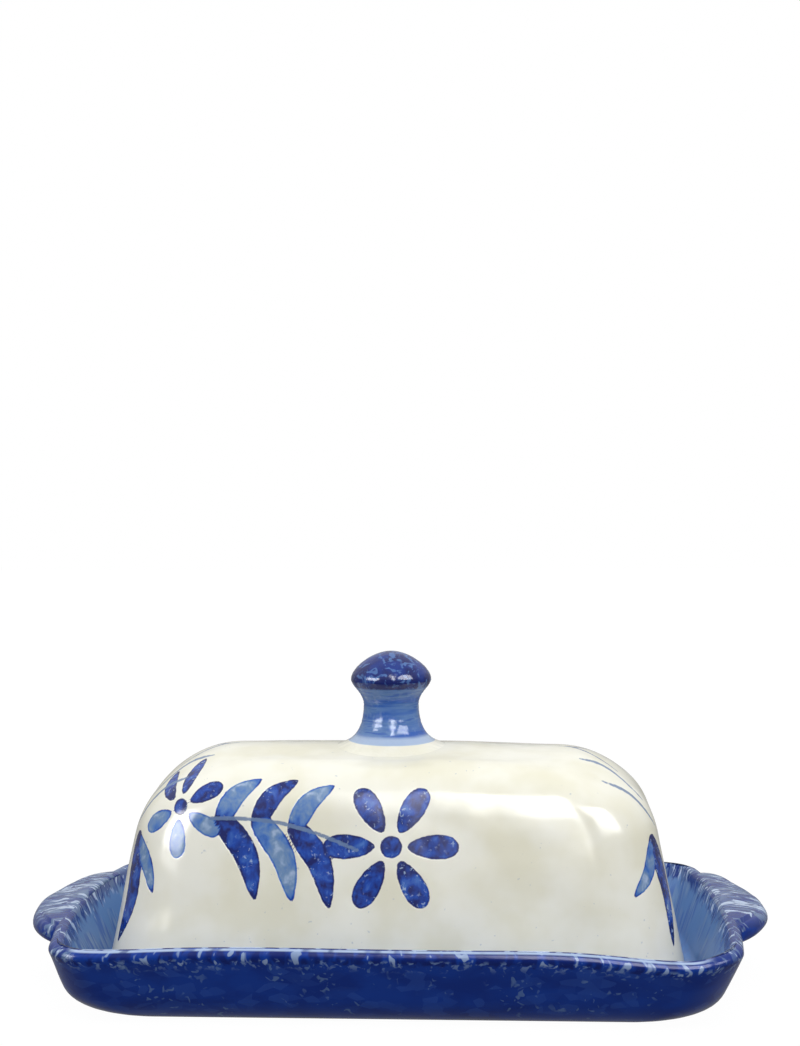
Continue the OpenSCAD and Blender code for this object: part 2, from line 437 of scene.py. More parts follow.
def cover_section(cover, inset):
    """Rings of one face of the cover, from its foot to its top, as half length, half width,
    corner radius and height. inset is 0 for the outside and the wall for the inside."""
    foot, top, foot_round = in_mm(cover, "foot", "top", "foot_round")
    end_shoulder, corner, top_corner = in_mm(cover, "end_shoulder", "corner", "top_corner")
    slope = math.tan(cover.lean)
    half_length = cover.length / MM / 2 + foot_round * slope
    half_width = cover.width / MM / 2 + foot_round * slope
    flat_width = top_corner + 2.5
    lean_in = (top - foot) * slope
    side_shoulder = (half_width - lean_in - flat_width) / math.tan((math.pi / 2 - cover.lean) / 2)
    level = inset / math.cos(cover.lean)
    crest = top - inset

    def reach(z, base, shoulder):
        centre_z = crest - shoulder
        bend_z = centre_z + shoulder * math.sin(cover.lean)
        if z <= bend_z:
            return base - (z - foot) * slope
        centre = base - (bend_z - foot) * slope - shoulder * math.cos(cover.lean)
        return centre + math.sqrt(max(0, shoulder**2 - (z - centre_z) ** 2))

    fine = inset == 0
    turns = np.radians(np.linspace(0, 90, 7))
    levels = [(foot + foot_round * (1 - math.cos(t)), foot_round * (1 - math.sin(t))) for t in turns]
    bend_z = crest - (end_shoulder - inset) * (1 - math.sin(cover.lean))
    levels += [(z, 0) for z in np.linspace(levels[-1][0], bend_z, 42 if fine else 6)[1:]]
    for turn in np.linspace(cover.lean, math.pi / 2, 48 if fine else 10)[1:]:
        levels.append((crest - (end_shoulder - inset) * (1 - math.sin(turn)), 0))
    section = []
    for z, pull in levels:
        pull = pull if fine else -pull
        a = reach(z, half_length - level, end_shoulder - inset)
        b = reach(z, half_width - level, side_shoulder - inset)
        share = (b - flat_width) / (half_width - level - flat_width)
        radius = top_corner + (corner - level - top_corner) * share
        section.append((a - pull, b - pull, radius - pull, z))
    return section


def top_drop(points, cover):
    """How far the hand-built top lies below level: it is crowned, and sags to the right."""
    x, y = points[..., 0], points[..., 1]
    reach = 26
    crowned = np.sin(math.pi / 2 * np.minimum(np.abs(y) / reach, 1)) ** 2
    return (cover.crown * crowned + cover.sag * ease(x, 12, 48)) / MM


def make_cover(sizes):
    """Shapes the hollow cover and lays the painting on its outside."""
    cover = sizes.cover
    plan = outline(102, 34, 58)
    outside, inside = cover_section(cover, 0), cover_section(cover, cover.wall / MM)
    outer = [ring(plan, *station) for station in outside]
    inner = [ring(plan, *station) for station in inside]
    shares = np.array([0.93, 0.84, 0.74, 0.63, 0.51, 0.38, 0.24, 0.1])
    outer += filled(outer[-1], shares)
    inner += filled(inner[-1], shares[::3])
    rings = np.array(inner[::-1] + outer)
    hidden = len(inner)
    foot, top = cover.foot / MM, cover.top / MM
    rise = ease(rings[..., 2], foot + 4, foot + 30)
    wander = waver(rings, 60, 11) * 0.8 + waver(rings, 24, 12) * 0.2
    wander *= cover.unevenness / MM * rise
    sideways = 1 - ease(rings[..., 2], top - 16, top)
    rings[..., :2] += (wander * sideways)[..., None] * plan[1]
    full_end = ease(rings[..., 0], 60, 85) * np.exp(-(((rings[..., 2] - 62) / 9) ** 2))
    rings[..., 0] += 1.1 * full_end
    rings[..., 2] -= top_drop(rings, cover) * ease(rings[..., 2], 36, top - 1)
    foot_turn = (math.pi / 2 - 1) * cover.foot_round / MM
    climb = path_length(rings[hidden:, 0, 1:]) - foot_turn
    field = np.full((3, *rings.shape[:2]), OUTSIDE)
    for level, height in enumerate(climb):
        round_it, girth = round_length(rings[hidden + level])
        front = np.where(round_it > girth / 2, round_it - girth, round_it)
        back = round_it - girth / 2
        s = np.where(np.abs(front) < girth / 4, front, back)
        field[:, hidden + level] = spray_at(s, np.full(len(s), height))
    attributes = dict(zip(("paint_edge", "paint_tone", "paint_hair"), field))
    return skin("painted_cover", rings, attributes, painted_glaze(sizes))


# ---------------------------------------------------------------- the painting

# A stroke is a path of points, in millimetres round the cover from the middle of its side and
# up its wall from the foot, then its width, its kind and its tone at the root and tip. The kind
# says how the width swells along it. A tone is 0 for the palest wash and 1 for the darkest blue.
PETAL, BUD, LEAF, STALK, HAIR = "petal", "bud", "leaf", "stalk", "hair"
# the tones of a full brush and of a pale wash
FULL, WASH = (0.92, 0.78), (0.48, 0.2)


def heading(degrees):
    """One step in a direction, 0 round the cover to the right and 90 up it."""
    return np.array([math.cos(math.radians(degrees)), math.sin(math.radians(degrees))])


def flower(s, t, reach, turn, washed):
    """An open flower: a round bud in a circle of even petals, the last few in a pale wash."""
    centre, petals = np.array([s, t]), 6
    strokes = [([centre - [1, 0], centre + [1, 0]], 0.36 * reach, BUD, *FULL)]
    for number in range(petals):
        way = heading(turn + 360 / petals * number)
        path = [centre + way * reach * share for share in (0.3, 0.65, 1)]
        tones = WASH if number >= petals - washed else FULL
        strokes.append((path, 0.4 * reach, PETAL, *tones))
    return strokes


def leaf(root, degrees, reach, width, tones):
    """A leaf that curls a little on its way from its root."""
    way = heading(degrees) * reach
    curl = np.array([-way[1], way[0]]) * 0.1
    return ([root, root + way / 2 + curl, root + way], width, LEAF, *tones)


def sprig(start, end, arch, pairs):
    """A stalk that arches from start to end, with pairs of leaves at even steps along its first
    part, one above and a longer one below, full and pale by turns."""
    start, run = np.array(start), np.subtract(end, start)

    def point(share):
        return start + run * share + [0, arch * math.sin(math.pi * share)]

    strokes = [([point(share) for share in np.linspace(0, 1, 7)], 1.15, STALK, 0, 0)]
    for number in range(pairs):
        root = point((number + 0.3) / (pairs + 1))
        above, below = (FULL, WASH) if number % 2 else (WASH, FULL)
        strokes.append(leaf(root, 48, 17, 6.4, above))
        strokes.append(leaf(root, -66, 26, 7.6, below))
    return strokes


def end_leaves(side):
    """Two leaves and three even hair lines over the end of the cover on one side."""
    root = np.array([side * 82, 44])
    strokes = [leaf(root, side * 12 - 90, 32, 7.5, FULL), leaf(root, side * -34 - 90, 18, 5.6, WASH)]
    for step in range(3):
        low = np.array([side * (88 - 3 * step), 47 + 8 * step])
        path = [low, low + [-side * 11, 11], low + [-side * 23, 17]]
        strokes.append((path, 1.6, HAIR, 0, 0))
    return strokes


SPRAY = sprig((-54, 52), (-10, 43), 3, 3) + end_leaves(-1) + end_leaves(1)
SPRAY += flower(0, 44, 18, 0, 0) + flower(-64, 55, 13.5, 30, 3)
OUTSIDE = -9.0


def swell(kind, share):
    """A stroke's width along it, as a share of its full width."""
    rest = 1 - share
    if kind == PETAL:
        return np.minimum(1, 1.75 * (share + 0.03) ** 0.66 * (rest + 0.004) ** 0.29)
    if kind == LEAF:
        return np.minimum(1, 1.9 * (share + 0.035) ** 0.36 * (rest + 0.001) ** 0.7)
    if kind == HAIR:
        return 1.7 * (share + 0.01) ** 0.5 * (rest + 0.01) ** 0.5 * 0.62 + 0.12
    return np.ones_like(share)


def smooth_path(points, samples):
    """Points at even parameters along a smooth curve through the given ones."""
    points = np.array(points, float)
    if len(points) == 2:
        return points[0] + (points[1] - points[0]) * np.linspace(0, 1, samples)[:, None]
    ends = np.vstack([2 * points[0] - points[1], points, 2 * points[-1] - points[-2]])
    place = np.linspace(0, len(points) - 1 - 1e-9, samples)
    start, t = place.astype(int), (place % 1)[:, None]
    p0, p1, p2, p3 = (ends[start + step] for step in range(4))
    return 0.5 * (
        2 * p1
        + (p2 - p0) * t
        + (2 * p0 - 5 * p1 + 4 * p2 - p3) * t**2
        + (3 * p1 - p0 - 3 * p2 + p3) * t**3
    )


def prepare(stroke):
    """A stroke's sampled path, its half widths and tones, and whether it is a thin line."""
    points, width, kind, root, tip = stroke
    samples = 64 if len(points) < 4 else 120
    path = smooth_path(points, samples)
    along = path_length(path)
    share = along / along[-1]
    half = width / 2 * swell(kind, share)
    if kind == BUD:
        inner = min(width / 2, along[-1] / 2)
        keep = (along >= inner) & (along <= along[-1] - inner)
        keep[len(keep) // 2] = True
        path, share, half = path[keep], share[keep], half[keep]
    tone = root + (tip - root) * share
    if kind == LEAF:
        tone = tone + 0.35 * ease(share, 0.8, 1) + 0.2 * (1 - ease(share, 0, 0.14))
    return path, half, tone, kind in (STALK, HAIR)


STROKES = [prepare(stroke) for stroke in SPRAY]


def spray_at(s, t):
    """The painting at points of the wall: how far each lies inside the nearest stroke, the
    stroke's tone there, and how far it lies inside a thin line."""
    best = np.full((3, len(s)), OUTSIDE)
    for path, half, tone, thin in STROKES:
        margin = half.max() + 1.5
        low, high = path.min(axis=0) - margin, path.max(axis=0) + margin
        near = np.flatnonzero((s > low[0]) & (s < high[0]) & (t > low[1]) & (t < high[1]))
        if not len(near):
            continue
        offset = np.stack([s[near], t[near]], axis=1)[:, None] - path
        inside = half - np.linalg.norm(offset, axis=2)
        which = inside.argmax(axis=1)
        edge = inside[np.arange(len(near)), which]
        if thin:
            best[2, near] = np.maximum(best[2, near], edge)
            continue
        better = edge > best[0, near]
        best[:2, near[better]] = np.stack([edge, tone[which]])[:, better]
    return best


# ---------------------------------------------------------------- glazes


class Nodes:
    """A node tree in the making: short calls that add a node and give back its output."""

    def __init__(self, tree):
        self.tree = tree

    def join(self, socket, value):
        """Links an output to a socket, or sets the socket to a plain value."""
        if isinstance(value, bpy.types.NodeSocket):
            self.tree.links.new(value, socket)
        else:
            socket.default_value = value

    def add(self, kind, inputs=(), output=0, **settings):
        """Adds a node, fills its inputs by name or number, and gives back one output."""
        node = self.tree.nodes.new(kind)
        for name, value in settings.items():
            setattr(node, name, value)
        for key, value in dict(inputs).items():
            self.join(node.inputs[key], value)
        return node.outputs[output] if node.outputs else None

    def math(self, operation, *values):
        """Arithmetic on one, two or three values."""
        return self.add("ShaderNodeMath", dict(enumerate(values)), operation=operation)

    def times(self, first, second):
        """One value times another."""
        return self.math("MULTIPLY", first, second)

    def plus(self, first, second):
        """One value added to another."""
        return self.math("ADD", first, second)

    def minus(self, first, second):
        """One value taken from another."""
        return self.math("SUBTRACT", first, second)

    def part(self, vector, axis):
        """One part of a vector: X, Y or Z."""
        return self.add("ShaderNodeSeparateXYZ", {0: vector}, axis)

    def ramp(self, value, stops):
        """A colour from a row of (place, colour) stops."""
        colour = self.add("ShaderNodeValToRGB", {0: value})
        points = colour.node.color_ramp.elements
        while len(points) < len(stops):
            points.new(0.5)
        for point, (place, tint) in zip(points, stops):
            point.position, point.color = place, tint
        return colour


class Glaze(Nodes):
    """A material in the making, whose patterns are sized in millimetres."""

    def __init__(self, name):
        self.material = bpy.data.materials.new(name)
        self.material.use_nodes = True
        super().__init__(self.material.node_tree)
        self.shader = self.tree.nodes["Principled BSDF"]

    def number(self, name):
        """A number that the mesh carries."""
        return self.add("ShaderNodeAttribute", output="Fac", attribute_name=name)

    def vector(self, name):
        """A vector that the mesh carries."""
        return self.add("ShaderNodeAttribute", output="Vector", attribute_name=name)

    def place(self):
        """The point's place on the object, in millimetres."""
        spot = self.add("ShaderNodeTexCoord", output="Object")
        return self.add("ShaderNodeVectorMath", {0: spot, "Scale": 1 / MM}, operation="SCALE")

    def height(self):
        """The point's height above the table, in millimetres."""
        return self.part(self.place(), "Z")

    def moved(self, vector, shift=(0, 0, 0), scale=(1, 1, 1)):
        """A vector stretched and then moved."""
        return self.add("ShaderNodeMapping", {"Vector": vector, "Location": shift, "Scale": scale})

    def noise(self, vector, size, detail=2.0, distortion=0.0, roughness=0.5):
        """Cloudy noise whose clouds are about the given size."""
        inputs = {"Vector": vector, "Scale": 1 / size, "Detail": detail}
        inputs |= {"Distortion": distortion, "Roughness": roughness}
        return self.add("ShaderNodeTexNoise", inputs)

    def swing(self, value, reach):
        """A value of 0 to 1, centred on 0 and scaled to the given reach."""
        return self.times(self.minus(value, 0.5), reach)

    def band(self, value, low, high, start=0.0, end=1.0):
        """Turns smoothly from start to end while the value goes from low to high."""
        inputs = {0: value, 1: low, 2: high, 3: start, 4: end}
        return self.add("ShaderNodeMapRange", inputs, interpolation_type="SMOOTHSTEP")

    def mix(self, share, first, second):
        """A colour between two, by a share of 0 to 1."""
        inputs = {0: share, 6: first, 7: second}
        return self.add("ShaderNodeMix", inputs, 2, data_type="RGBA")

    def bump(self, height, depth):
        """Raises the surface by up to the given depth, in millimetres."""
        inputs = {"Height": height, "Distance": depth * MM, "Strength": 1.0}
        self.join(self.shader.inputs["Normal"], self.add("ShaderNodeBump", inputs))

    def finish(self, surface, rough, gloss):
        """Sets the colour, the roughness and the strength of the shine."""
        self.join(self.shader.inputs["Base Color"], surface)
        self.join(self.shader.inputs["Roughness"], rough)
        self.join(self.shader.inputs["Specular IOR Level"], gloss)
        return self.material


def shades(sizes, names):
    """Some of the glaze colours, with their alpha."""
    return [(*getattr(sizes.colours, name), 1.0) for name in names.split()]


def mid(first, second, share):
    """A plain colour between two."""
    return tuple(a + (b - a) * share for a, b in zip(first, second))


def streaked(g, wrap, place, sizes):
    """Brush marks that run over the ends of the rim: lavender grey, wiped white in curved streaks and
    left dark in patches. The patches grow towards the front, where they are painted shade at the near
    ends of the lugs."""
    night, navy, slate, mist, stalk = shades(sizes, "night navy slate mist stalk")
    bent = g.noise(place, 9, 1)
    sway = g.add("ShaderNodeCombineXYZ", {"X": g.times(bent, 9.0)})
    path = g.add("ShaderNodeVectorMath", {0: wrap, 1: sway}, operation="ADD")
    fine = g.noise(g.moved(path, (0, 0, 0), (1, 1, 0.22)), 1.9, 3, 0.6)
    wide = g.noise(g.moved(path, (5, 1, 8), (1, 1, 0.3)), 4.2, 2, 0.8)
    grey = g.mix(g.band(wide, 0.4, 0.6), mid(navy, stalk, 0.55), mid(stalk, slate, 0.25))
    grey = g.mix(g.band(fine, 0.54, 0.6), grey, mid(slate, mist, 0.95))
    # dark patches, partly brushwork and partly painted shade: more of them towards the front, where
    # the lugs' near ends lie in shade
    near = g.band(g.part(place, "Y"), -8, -24, 0.0, 0.1)
    dark = g.noise(g.moved(path, (2, 8, 1), (1, 1, 0.4)), 3.4, 2, 1.0)
    dark = g.band(g.plus(dark, near), 0.54, 0.59)
    return g.mix(g.times(dark, 0.9), grey, mid(navy, night, 0.4))


def sponged_glaze(sizes):
    """Cobalt dabbed on with a sponge, under a rim that was painted and wiped."""
    g = Glaze("tray_glaze")
    place, wrap, across = g.place(), g.vector("wrap"), g.number("across")
    night, navy, cobalt, denim, slate, mist, clay = shades(
        sizes, "night navy cobalt denim slate mist clay"
    )
    # the wall, dark, with dim broad dabs and a few pale ones
    cloud = g.noise(g.moved(place, (0, 0, 0), (0.5, 1, 1)), 9, 3, 0.3)
    dabs = g.moved(place, (31, 7, 3), (0.6, 1, 1.1))
    dabs = g.add("ShaderNodeTexVoronoi", {"Vector": dabs, "Scale": 1 / 2.6}, "Color")
    dab = g.add("ShaderNodeSeparateColor", {0: dabs}, "Red")
    wall = g.mix(g.band(cloud, 0.35, 0.65), mid(navy, night, 0.25), mid(navy, cobalt, 0.3))
    wall = g.mix(g.times(g.band(dab, 0.5, 0.95), 0.35), wall, mid(cobalt, slate, 0.15))
    worn = g.noise(g.moved(place, (3, 3, 9)), 13, 2)
    flecks = g.noise(g.moved(place, (5, 17, 29)), 2.3, 1, 0.6)
    fleck = g.times(g.band(flecks, 0.62, 0.7), g.band(worn, 0.48, 0.6))
    wall = g.mix(g.times(fleck, 0.42), wall, slate)
    # the rim's outer band, bright cobalt with pale runs and blots along its lower edge
    runs = g.noise(g.moved(wrap, (9, 4, 2), (1, 1, 0.5)), 2.6, 1, 0.4)
    dashes = g.noise(g.moved(wrap, (1, 2, 0), (1, 1, 0.2)), 5.2, 1, 0.2)
    blots = g.noise(g.moved(wrap, (4, 8, 15), (0.8, 0.8, 1)), 1.7, 2, 0.4)
    rim = g.mix(g.band(runs, 0.4, 0.6), mid(night, cobalt, 0.1), mid(navy, cobalt, 0.3))
    rim = g.mix(g.times(g.band(runs, 0.61, 0.66), 0.75), rim, mid(slate, mist, 0.5))
    ragged = g.plus(across, g.swing(blots, 5.0))
    body = g.mix(g.band(ragged, 4.6, 5.8), rim, wall)
    hem = g.times(g.band(across, 3.4, 4.6), g.band(across, 8.5, 5.2))
    hem = g.times(hem, g.band(blots, 0.55, 0.66))
    body = g.mix(g.times(hem, 0.5), body, mid(slate, mist, 0.2))
    # a thin pale line along the lip's rounded edge: partly where the glaze broke thin over it, partly
    # a painted highlight of the lip's shine
    line = g.times(g.band(across, 0.5, 0.9), g.band(across, 1.9, 1.3))
    line = g.times(line, g.band(dashes, 0.3, 0.45, 0.35, 0.95))
    body = g.mix(line, body, mid(slate, mist, 0.75))
    # the crest, dark, wiped nearly white in dashes
    crest = g.mix(g.band(dashes, 0.5, 0.55), mid(night, cobalt, 0.1), mid(mist, slate, 0.1))
    body = g.mix(g.band(across, 0.6, 0.3), body, crest)
    # the inside, slate blue with soft streaks that run down from the rim
    soft = g.noise(g.moved(wrap, (0, 0, 0), (1, 1, 0.12)), 2.2, 2, 0.5)
    soft = g.math("MULTIPLY_ADD", g.minus(soft, 0.5), g.band(across, -22, -14), 0.5)
    inner = g.mix(g.band(soft, 0.38, 0.64), mid(cobalt, slate, 0.42), mid(slate, mist, 0.05))
    inner = g.mix(g.band(g.noise(wrap, 12, 2, 0.8), 0.42, 0.6), inner, mid(denim, slate, 0.55))
    body = g.mix(g.band(across, -1.0, -2.2), body, inner)
    # both ends of the rim are streaked across
    sides = g.math("ABSOLUTE", g.part(place, "X"))
    fade = g.plus(across, g.swing(runs, 9.0))
    end = g.times(g.band(sides, 88, 92), g.band(fade, -7.5, -4.5))
    end = g.times(end, g.band(ragged, 4.6, 3.4))
    body = g.mix(end, body, streaked(g, wrap, place, sizes))
    # bare clay where the foot was wiped
    foot = sizes.tray.bare_foot / MM
    level = g.plus(g.height(), g.times(g.noise(place, 5, 2), 0.6))
    bare = g.band(level, foot + 0.4, foot + 0.1)
    grit = g.mix(g.noise(place, 0.6, 2), clay, mid(clay, navy, 0.3))
    body = g.mix(bare, body, grit)
    rough = g.plus(g.band(cloud, 0.3, 0.7, 0.14, 0.24), g.times(bare, 0.6))
    g.bump(g.plus(g.noise(place, 10, 1), g.times(flecks, 0.12)), 0.22)
    return g.finish(body, rough, 0.22)


def lug_glaze(name, sizes):
    """Streaks that carry on over the lugs, down to the sponged cobalt below."""
    g = Glaze(name)
    place, wrap = g.place(), g.vector("wrap")
    top = streaked(g, wrap, place, sizes)
    navy, cobalt, slate = shades(sizes, "navy cobalt slate")
    ragged = g.noise(place, 3.2, 2, 0.8)
    under = g.mix(g.band(g.noise(place, 4, 2), 0.4, 0.6), navy, mid(navy, cobalt, 0.4))
    under = g.mix(g.times(g.band(ragged, 0.58, 0.64), 0.5), under, slate)
    level = g.plus(g.height(), g.swing(ragged, 5.0))
    limit = (sizes.tray.height - sizes.lugs.droop) / MM
    body = g.mix(g.band(level, limit - 2.6, limit - 1.6), under, top)
    g.bump(g.plus(g.noise(place, 6, 2), g.times(ragged, 0.2)), 0.35)
    return g.finish(body, g.band(g.noise(place, 7, 2), 0.3, 0.7, 0.14, 0.24), 0.3)


def painted_glaze(sizes):
    """Ivory glaze with brushed cobalt under it, which pools dark at each stroke's edge."""
    g = Glaze("cover_glaze")
    place = g.place()
    edge, tone = g.number("paint_edge"), g.number("paint_tone")
    night, cobalt, denim, slate, mist, stalk = shades(sizes, "night cobalt denim slate mist stalk")
    # the ground
    ground = g.mix(g.band(g.noise(place, 22, 3), 0.35, 0.7), *shades(sizes, "ivory cream"))
    spots = g.noise(g.moved(place, (3, 5, 8)), 1.5, 1)
    ground = g.mix(g.times(g.band(spots, 0.74, 0.8), 0.3), ground, slate)
    # the strokes
    shaky = g.swing(g.noise(place, 1.6, 3), 0.55)
    inside = g.plus(edge, shaky)
    mask = g.band(inside, -0.12, 0.12)
    blots = g.noise(g.moved(place, (7, 2, 1)), 4.2, 3, 0.6)
    runs = g.noise(g.moved(place, (2, 4, 6), (1, 1, 0.5)), 1.7, 2)
    pool = g.times(g.band(inside, 0.8, 0.1), g.band(tone, 0.2, 0.9, 0.34, 0.2))
    load = g.plus(tone, g.swing(blots, 1.1))
    load = g.plus(load, g.swing(runs, 0.45))
    load = g.plus(load, pool)
    stops = [(0.0, mist), (0.28, slate), (0.55, denim), (0.78, cobalt), (1.0, night)]
    wash = g.ramp(load, stops)
    grit = g.noise(g.moved(place, (1, 9, 4)), 1.1, 2, 0.5)
    clusters = g.band(g.noise(g.moved(place, (6, 6, 2)), 5, 1), 0.42, 0.6)
    loaded = g.times(g.band(tone, 0.4, 0.75), clusters)
    wash = g.mix(g.times(g.band(grit, 0.58, 0.7), loaded), wash, mid(slate, mist, 0.4))
    surface = g.mix(mask, ground, wash)
    hair = g.plus(g.number("paint_hair"), shaky)
    line = g.mix(g.noise(place, 3, 2), stalk, mid(stalk, slate, 0.8))
    surface = g.mix(g.times(g.band(hair, -0.15, 0.15), 0.9), surface, line)
    rough = g.band(g.noise(place, 9, 2), 0.3, 0.7, 0.12, 0.2)
    ripple = g.plus(g.noise(place, 17, 1), g.times(g.noise(place, 5, 1), 0.12))
    g.bump(g.minus(ripple, g.times(mask, 0.08)), 0.4)
    return g.finish(surface, rough, 0.45)


def knob_glaze(sizes):
    """A sponged cobalt cap, a neck brushed round in mid blue and a foot in ivory."""
    g = Glaze("knob_glaze")
    place, height = g.place(), g.height()
    night, cobalt, denim, slate, mist = shades(sizes, "night cobalt denim slate mist")
    base = sizes.cover.top / MM
    # the cap
    dabs = g.noise(place, 2.6, 2, 0.9)
    cap = g.mix(g.band(g.noise(g.moved(place, (4, 4, 1)), 7, 2), 0.4, 0.6), night,
                mid(night, cobalt, 0.4))
    cap = g.mix(g.times(g.band(dabs, 0.52, 0.62), 0.7), cap, mid(denim, slate, 0.3))
    # the neck
    bands = g.noise(g.moved(place, (0, 0, 0), (0.1, 0.1, 1)), 1.8, 3)
    neck = g.mix(g.band(bands, 0.35, 0.65), mid(cobalt, denim, 0.45), mid(denim, slate, 0.6))
    neck = g.mix(g.times(g.band(bands, 0.6, 0.66), 0.65), neck, mid(cobalt, denim, 0.15))
    neck = g.mix(g.times(g.band(dabs, 0.56, 0.7), 0.2), neck, mid(slate, mist, 0.3))
    spread = g.add("ShaderNodeVectorMath", {0: g.moved(place, (-knob_x(), 0, 0), (1, 1, 0))},
                   "Value", operation="LENGTH")
    low = g.band(height, base + 5, base + 3)
    rim = g.plus(spread, g.times(bands, 0.8))
    neck = g.mix(g.times(g.band(rim, 11.2, 12.6), low), neck, mid(slate, mist, 0.7))
    ragged = g.plus(height, g.swing(dabs, 0.8))
    surface = g.mix(g.band(ragged, base + 17.9, base + 18.4), neck, cap)
    ground = g.mix(g.band(g.noise(place, 22, 3), 0.35, 0.7), *shades(sizes, "ivory cream"))
    painted = g.math("MAXIMUM", g.band(rim, 14.4, 14.1), g.band(height, base + 5, base + 6))
    surface = g.mix(painted, ground, surface)
    g.bump(g.plus(g.noise(place, 4, 2), g.times(bands, 0.3)), 0.3)
    rough = g.band(g.noise(place, 6, 2), 0.3, 0.7, 0.08, 0.16)
    return g.finish(surface, rough, 0.4)


def knob_x():
    """Where the knob's axis stands along the cover, in millimetres."""
    return (KNOB_LOW.x + KNOB_HIGH.x) / 2 / MM


# ---------------------------------------------------------------- the knob, turned on a wheel

KNOB_INPUTS = {
    "Height": "height",
    "Foot radius": "foot_radius",
    "Foot sink": "foot_sink",
    "Cap radius": "cap_radius",
    "Cap depth": "cap_depth",
    "Neck radius": "neck_radius",
    "Neck height": "neck_height",
    "Throwing lines": "throwing",
}


def knob_tree(material):
    """A node tree that turns the knob's outline round its axis."""
    tree = bpy.data.node_groups.new("turned_knob", "GeometryNodeTree")
    tree.interface.new_socket(name="Knob", in_out="OUTPUT", socket_type="NodeSocketGeometry")
    for name in KNOB_INPUTS:
        tree.interface.new_socket(name=name, in_out="INPUT", socket_type="NodeSocketFloat")
    tree.interface.new_socket(name="Segments", in_out="INPUT", socket_type="NodeSocketInt")
    n = Nodes(tree)
    entry = n.add("NodeGroupInput").node
    size = {socket.name: socket for socket in entry.outputs if socket.name}

    def spot(radius, height):
        return n.add("ShaderNodeCombineXYZ", {"X": radius, "Z": height})

    height, depth, waist_z = size["Height"], size["Cap depth"], size["Neck height"]
    cap, neck, foot = size["Cap radius"], size["Neck radius"], size["Foot radius"]
    wide_z, sunk = n.minus(height, depth), n.times(size["Foot sink"], -1.0)
    brow_z = n.math("MULTIPLY_ADD", depth, 0.4, wide_z)
    widest, waist, edge, buried = (
        spot(cap, wide_z), spot(neck, waist_z), spot(foot, sunk), spot(foot, -0.8 * MM)
    )
    stretches = [
        # start, its handle, the end's handle, end
        (spot(0.0, height), spot(n.times(cap, 0.46), height), spot(cap, brow_z), widest),
        (widest, spot(cap, n.minus(wide_z, 2.2 * MM)), spot(neck, n.plus(waist_z, 3.6 * MM)), waist),
        (waist, spot(neck, n.minus(waist_z, 8.6 * MM)), spot(n.minus(foot, 7.5 * MM), sunk), edge),
        (edge, buried, buried, spot(0.0, -1.0 * MM)),
    ]
    columns = n.plus(size["Segments"], 1)
    sheet = {"Size X": 1, "Size Y": 1, "Vertices X": columns, "Vertices Y": 121}
    grid = n.add("GeometryNodeMeshGrid", sheet)
    flat = n.add("GeometryNodeInputPosition")
    turn = n.times(n.plus(n.part(flat, "X"), 0.5), 2 * math.pi)
    along = n.times(n.plus(n.part(flat, "Y"), 0.5), len(stretches))
    place = None
    for step, spots in enumerate(stretches):
        points = dict(zip(("Start", "Start Handle", "End Handle", "End"), spots))
        curve = n.add("GeometryNodeCurvePrimitiveBezierSegment", {"Resolution": 48, **points})
        share = n.add("ShaderNodeClamp", {"Value": n.minus(along, step)})
        inputs = {"Curves": curve, "Factor": share}
        sample = n.add("GeometryNodeSampleCurve", inputs, "Position", mode="FACTOR")
        if place is None:
            place = sample
            continue
        inputs = {"Switch": n.math("GREATER_THAN", along, step), "False": place, "True": sample}
        place = n.add("GeometryNodeSwitch", inputs, input_type="VECTOR")
    out, up = n.part(place, "X"), n.part(place, "Z")
    inputs = {"W": n.times(up, 420.0), "Detail": 1.0}
    ripple = n.add("ShaderNodeTexNoise", inputs, noise_dimensions="1D")
    held = n.add("ShaderNodeMapRange", {0: out, 1: 2 * MM, 2: 6 * MM})
    lines = n.times(n.minus(ripple, 0.5), size["Throwing lines"])
    radius = n.math("MULTIPLY_ADD", lines, n.times(held, 2.0), out)
    x, y = n.times(radius, n.math("COSINE", turn)), n.times(radius, n.math("SINE", turn))
    turned = n.add("ShaderNodeCombineXYZ", {"X": x, "Y": y, "Z": up})
    shape = n.add("GeometryNodeSetPosition", {"Geometry": grid, "Position": turned})
    shape = n.add("GeometryNodeMergeByDistance", {"Geometry": shape, "Distance": 0.004 * MM})
    shape = n.add("GeometryNodeFlipFaces", {"Mesh": shape})
    shape = n.add("GeometryNodeSetShadeSmooth", {"Geometry": shape})
    shape = n.add("GeometryNodeRealizeInstances", {"Geometry": shape})
    shape = n.add("GeometryNodeSetMaterial", {"Geometry": shape, "Material": material})
    n.add("NodeGroupOutput", {"Knob": shape})
    return tree


def make_knob(sizes):
    """Turns the knob and settles its foot on the crowned top."""
    knob, cover = sizes.knob, sizes.cover
    piece = placed("turned_knob", bpy.data.meshes.new("turned_knob"))
    tree = knob_tree(knob_glaze(sizes))
    modifier = piece.modifiers.new("turning", "NODES")
    modifier.node_group = tree
    keys = {item.name: item.identifier for item in tree.interface.items_tree
            if item.in_out == "INPUT"}
    for name, field in KNOB_INPUTS.items():
        modifier[keys[name]] = getattr(knob, field)
    modifier[keys["Segments"]] = knob.segments
    shown = piece.evaluated_get(bpy.context.evaluated_depsgraph_get())
    mesh = bpy.data.meshes.new_from_object(shown)
    piece.modifiers.clear()
    piece.data = mesh
    points = np.empty(len(mesh.vertices) * 3)
    mesh.vertices.foreach_get("co", points)
    points = points.reshape(-1, 3) / MM
    free = ease(points[:, 2], 0.5, knob.neck_height / MM)
    spread = ease(np.hypot(points[:, 0], points[:, 1]), 13, 19.5)
    points[:, 2] -= top_drop(points + [knob_x(), 0, 0], cover) * (1 - free) * spread
    points += [knob_x(), 0, cover.top / MM]
    mesh.vertices.foreach_set("co", (points * MM).ravel())
    mesh.update()
    return piece


# ---------------------------------------------------------------- the studio


